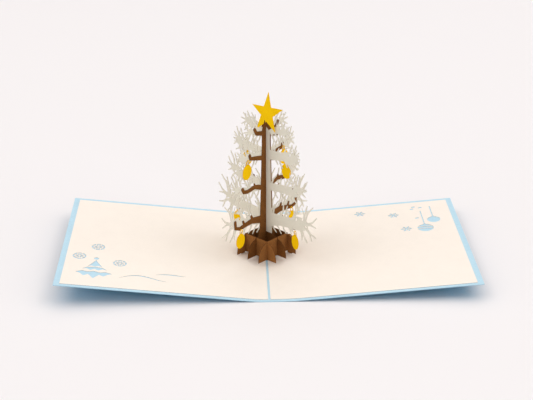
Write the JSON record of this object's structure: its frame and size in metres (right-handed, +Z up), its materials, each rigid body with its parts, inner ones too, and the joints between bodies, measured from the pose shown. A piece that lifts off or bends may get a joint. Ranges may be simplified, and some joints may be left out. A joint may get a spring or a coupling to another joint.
{
  "type": "pop up card",
  "caption": "Square greeting card standing open on a table, with a slotted paper lattice over its fold that raises a snowy fir tree with a star and hanging ornaments",
  "frame": {"origin": "under the middle of the fold, on the surface the card stands on", "axes": "X across the two leaves, Y along the fold towards the back, Z up"},
  "size_m": [0.2987, 0.15, 0.1267],
  "materials": {
    "blue_card": "matt light blue card",
    "cream_card": "matt cream card",
    "brown_paper": "matt brown card paper",
    "white_paper": "matt white card paper",
    "yellow_paper": "matt golden yellow card paper"
  },
  "bodies": {
    "root": {"cover": "blue_card", "left_lining": "cream_card", "right_lining": "cream_card", "first_snow_sheet": "white_paper", "second_snow_sheet": "white_paper", "first_trunk_sheet": "brown_paper", "second_trunk_sheet": "brown_paper", "first_base_strip_front": "brown_paper", "first_base_strip_back": "brown_paper", "second_base_strip_front": "brown_paper", "second_base_strip_back": "brown_paper", "left_base_tab": "brown_paper", "right_base_tab": "brown_paper", "star": "yellow_paper", "front_left_upper_ornament": "yellow_paper", "front_left_lower_ornament": "yellow_paper", "back_right_upper_ornament": "yellow_paper", "back_right_lower_ornament": "yellow_paper", "front_right_upper_ornament": "yellow_paper", "front_right_lower_ornament": "yellow_paper", "back_left_upper_ornament": "yellow_paper", "back_left_lower_ornament": "yellow_paper"}
  },
  "joints": []
}
